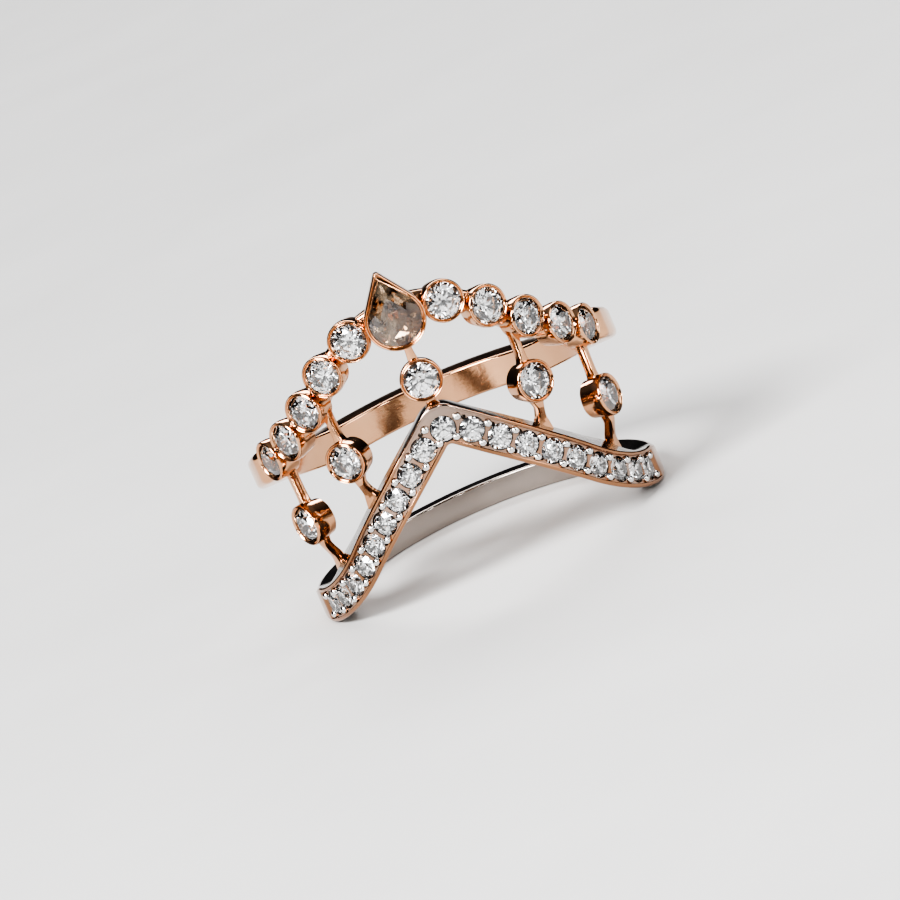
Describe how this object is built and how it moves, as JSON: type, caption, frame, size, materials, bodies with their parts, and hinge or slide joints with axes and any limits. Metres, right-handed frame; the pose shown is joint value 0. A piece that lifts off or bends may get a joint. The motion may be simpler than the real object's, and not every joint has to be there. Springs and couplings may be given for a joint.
{
  "type": "nail ring",
  "caption": "Open crown-shaped ring: a bezel-set row of round stones with a pear stone in the middle, joined by cups on struts to a pointed pave-set chevron band.",
  "frame": {"origin": "on the finger hole's axis, level with the edge of the chevron's shank that the ring rests on", "axes": "+Z along the finger hole towards the base of the finger and the pear stone's tip, -Y out of the jewelled front, +X to the viewer's right"},
  "size_m": [0.0196, 0.0197, 0.0168],
  "materials": {
    "rose_gold": "polished",
    "white_stone": "gloss",
    "champagne_stone": "gloss"
  },
  "bodies": {
    "root": {"ring_frame": "rose_gold", "pear_stone": "champagne_stone", "row_stone_left_1": "white_stone", "row_stone_left_2": "white_stone", "row_stone_left_3": "white_stone", "row_stone_left_4": "white_stone", "row_stone_left_5": "white_stone", "row_stone_right_1": "white_stone", "row_stone_right_2": "white_stone", "row_stone_right_3": "white_stone", "row_stone_right_4": "white_stone", "row_stone_right_5": "white_stone", "cup_stone_centre": "white_stone", "cup_stone_left_1": "white_stone", "cup_stone_left_2": "white_stone", "cup_stone_right_1": "white_stone", "cup_stone_right_2": "white_stone", "pave_stone_centre": "white_stone", "pave_stone_left_1": "white_stone", "pave_stone_left_2": "white_stone", "pave_stone_left_3": "white_stone", "pave_stone_left_4": "white_stone", "pave_stone_left_5": "white_stone", "pave_stone_left_6": "white_stone", "pave_stone_left_7": "white_stone", "pave_stone_left_8": "white_stone", "pave_stone_left_9": "white_stone", "pave_stone_right_1": "white_stone", "pave_stone_right_2": "white_stone", "pave_stone_right_3": "white_stone", "pave_stone_right_4": "white_stone", "pave_stone_right_5": "white_stone", "pave_stone_right_6": "white_stone", "pave_stone_right_7": "white_stone", "pave_stone_right_8": "white_stone", "pave_stone_right_9": "white_stone"}
  },
  "joints": []
}
